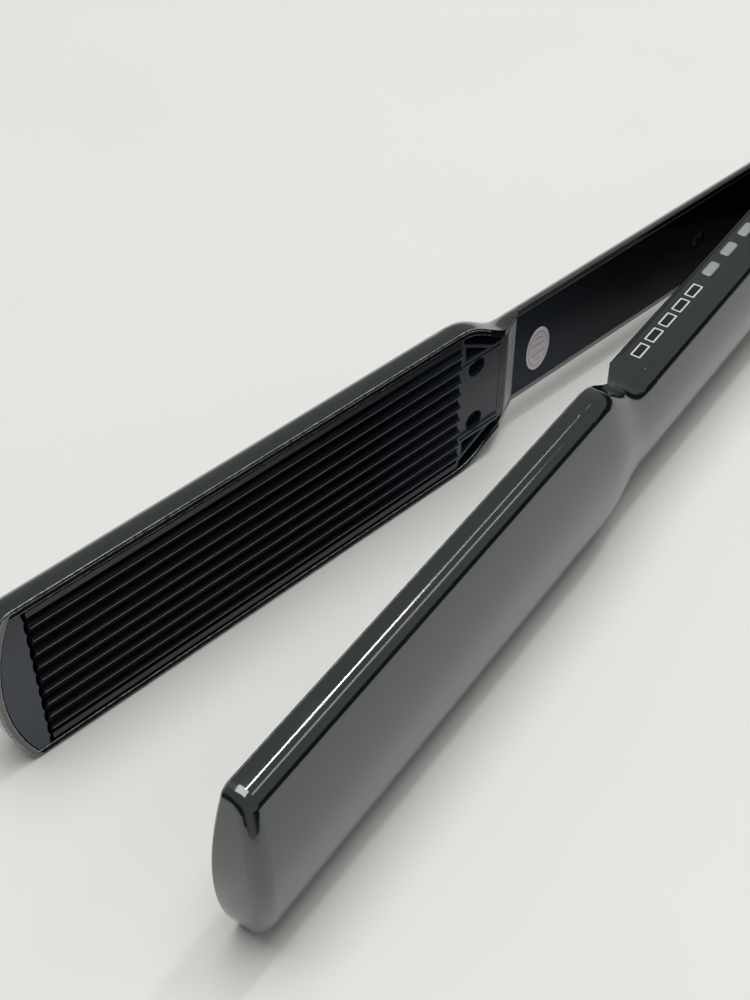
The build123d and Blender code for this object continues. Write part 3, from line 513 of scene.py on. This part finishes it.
def valleyArc(start, end, depth, steps):
    # points on the arc through two ends and its lowest point, without the ends
    (y0, z0), (y1, z1) = start, end
    my, mz = (y0 + y1) / 2, depth
    # centre of the circle through the three points
    a = 2 * (my - y0), 2 * (mz - z0), my * my + mz * mz - y0 * y0 - z0 * z0
    b = 2 * (y1 - y0), 2 * (z1 - z0), y1 * y1 + z1 * z1 - y0 * y0 - z0 * z0
    det = a[0] * b[1] - a[1] * b[0]
    cy, cz = (a[2] * b[1] - a[1] * b[2]) / det, (a[0] * b[2] - a[2] * b[0]) / det
    radius = sqrt((y0 - cy) ** 2 + (z0 - cz) ** 2)
    points = []
    for i in range(1, steps):
        y = y0 + (y1 - y0) * (0.5 - 0.5 * cos(pi * i / steps))
        points.append((y, cz + sqrt(max(radius ** 2 - (y - cy) ** 2, 0))))
    return points


def plateProfile(v, crests):
    # the section's points, and which coat the stretch after each one has
    half, body, corner, steps = v["half"], v["bodyHalf"], v["corner"], v["valleySteps"]
    land, flare = half - v["landWidth"], corner * v["flare"]
    top = -v["proud"]
    base, brow, join = top + corner, top + corner * v["brow"], top + corner * v["join"]
    first = -(crests - 1) / 2 * v["pitch"]
    points = [(-half, v["flangeFoot"]), (-half, v["land"]), (-land, v["land"])]
    stretches = ["Land", "Land", "ShadedGroove"]
    here = (-land, v["land"])
    for i in range(crests):
        y = first + i * v["pitch"]
        left, right = y - v["flat"] / 2, y + v["flat"] / 2
        points += valleyArc(here, (left, join), v["valley"], steps)
        points += [(left - flare, base), (left, brow), (left + corner, top),
                   (right - corner, top), (right, brow), (right + flare, base)]
        # each crest's flat takes the painted highlight, the rest of the valley the painted shade
        stretches += ["ShadedGroove"] * (steps + 1) + ["HighlightCrest"] + ["ShadedGroove"] * 3
        here = (right, join)
    points += valleyArc(here, (land, v["land"]), v["valley"], steps)
    stretches += ["ShadedGroove"] * (steps - 1)
    points += [(land, v["land"]), (half, v["land"]), (half, v["flangeFoot"]),
               (body, v["flangeFoot"]), (body, v["foot"]), (-body, v["foot"]),
               (-body, v["flangeFoot"])]
    stretches += ["Land"] * (len(points) - len(stretches))
    return points, stretches


def heatingPlate(arm, v):
    profile, stretches = plateProfile(v, v["crests"][arm])
    n = len(profile)
    ends = (v["start"], v["start"] + v["length"])
    points = [(x, y, z) for x in ends for y, z in profile]
    faces = [(k, (k + 1) % n, n + (k + 1) % n, n + k) for k in range(n)]
    faces += [tuple(range(n)), tuple(range(2 * n - 1, n - 1, -1))]
    piece = newPiece(arm + "_plate", points, faces, arm, plateFinish[arm], v["smoothAngle"])
    for polygon, stretch in zip(piece.data.polygons, stretches):
        polygon.material_index = list(coats).index(stretch)
    node = arm + "_heating_plate"
    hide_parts(node)


for arm in ("left", "right"):
    heatingPlate(arm, plateShape)
print("plates made")


def torsionSpring(name, node):
    piece = bpy.data.objects.new(name, nodes[node].data.copy())
    bpy.context.scene.collection.objects.link(piece)
    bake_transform(piece)
    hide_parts(node)


torsionSpring("torsion_spring", "return_spring")
print("spring made")

# Floor: a pale laminate table, nearly white, with a faint uneven sheen
floor = {
    "colour": "#ebebe7", "roughness": 0.625, "spread": 0.075, "patch": 60.0,   # patches in mm
    "size": 4.0, "drop": 0.0003,                                               # metres
}


def makeFloor(v):
    material = startMaterial("laminateTable", v)[0]
    half = v["size"] / 2
    corners = [(-half, -half, 0), (half, -half, 0), (half, half, 0), (-half, half, 0)]
    data = bpy.data.meshes.new("floor")
    data.from_pydata(corners, [], [(0, 1, 2, 3)])
    data.materials.append(material)
    plane = bpy.data.objects.new("floor", data)
    plane.location.z = -v["drop"]
    bpy.context.scene.collection.objects.link(plane)


makeFloor(floor)
print("floor made")

# Light: a pale room with two dim stretches low down, a softbox overhead, and lamp tubes and a
# window on the right, whose reflections run along the upper edges of both arms
light = {
    "colour": "#fafbf9", "zenith": 0.28, "horizon": 0.31, "rise": (0.1, 0.75), "backdrop": 0.86,
    # each dim stretch lies that way, fades in over its reach and ends at its top
    "dims": ({"way": (0.6, -0.8, 0), "reach": (0.3, 0.7), "top": (0.2, 0.23), "level": 0.01},
             {"way": (-0.93, 0.37, 0), "reach": (0.6, 0.85), "top": (0.3, 0.5), "level": 0.03}),
    # places and sizes in metres, power in watts
    "lamps": {
        "overhead": {"place": (0.0, 0.08, 2.5), "size": (2.0, 1.8), "power": 42.5},
        "tubeNear": {"place": (0.46, -0.083, 1.0), "size": (0.34, 0.05), "power": 1.45},
        "tubeFar": {"place": (0.78, -0.083, 1.0), "size": (0.3, 0.04), "power": 0.15},
        "window": {"place": (0.85, -0.79, 1.17), "size": (0.7, 0.13), "power": 0.6},
    },
}


def makeWorld(v):
    world = bpy.data.worlds.new("room")
    bpy.context.scene.world = world
    world.use_nodes = True
    tree = world.node_tree
    tree.nodes.clear()
    way = addNode(tree, "ShaderNodeTexCoord").outputs["Generated"]
    height = addNode(tree, "ShaderNodeSeparateXYZ", links={"Vector": way}).outputs["Z"]
    level = addNode(tree, "ShaderNodeMapRange", {
        "From Min": v["rise"][0], "From Max": v["rise"][1],
        "To Min": v["horizon"], "To Max": v["zenith"],
    }, {"Value": height}, interpolation_type="SMOOTHSTEP").outputs[0]
    for dim in v["dims"]:
        side = addNode(tree, "ShaderNodeVectorMath", {1: Vector(dim["way"])}, {0: way},
                       operation="DOT_PRODUCT").outputs["Value"]
        near = addNode(tree, "ShaderNodeMapRange", {
            "From Min": dim["reach"][0], "From Max": dim["reach"][1],
        }, {"Value": side}, interpolation_type="SMOOTHSTEP").outputs[0]
        low = addNode(tree, "ShaderNodeMapRange", {
            "From Min": dim["top"][0], "From Max": dim["top"][1], "To Min": 1.0, "To Max": 0.0,
        }, {"Value": height}, interpolation_type="SMOOTHSTEP").outputs[0]
        patch = addNode(tree, "ShaderNodeMath", links={0: near, 1: low},
                        operation="MULTIPLY").outputs[0]
        level = addNode(tree, "ShaderNodeMix", {"B": dim["level"]},
                        {"Factor": patch, "A": level}).outputs["Result"]
    seen = addNode(tree, "ShaderNodeLightPath").outputs["Is Camera Ray"]
    level = addNode(tree, "ShaderNodeMix", {"B": v["backdrop"]},
                    {"Factor": seen, "A": level}).outputs["Result"]
    shade = addNode(tree, "ShaderNodeBackground", {"Color": hexToLinear(v["colour"])},
                    {"Strength": level})
    addNode(tree, "ShaderNodeOutputWorld", links={"Surface": shade.outputs[0]})


def makeLamp(name, v):
    # it faces the line along the arms below it, its long side level with them
    data = bpy.data.lights.new(name, "AREA")
    data.shape = "RECTANGLE"
    data.size, data.size_y = v["size"]
    data.energy = v["power"]
    lamp = bpy.data.objects.new(name, data)
    back = Vector((0, v["place"][1], v["place"][2])).normalized()
    long = Vector((1, 0, 0))
    turn = Matrix((long, back.cross(long), back)).transposed().to_4x4()
    lamp.matrix_world = Matrix.Translation(v["place"]) @ turn
    bpy.context.scene.collection.objects.link(lamp)


makeWorld(light)
for name, values in light["lamps"].items():
    makeLamp(name, values)
print("light set")
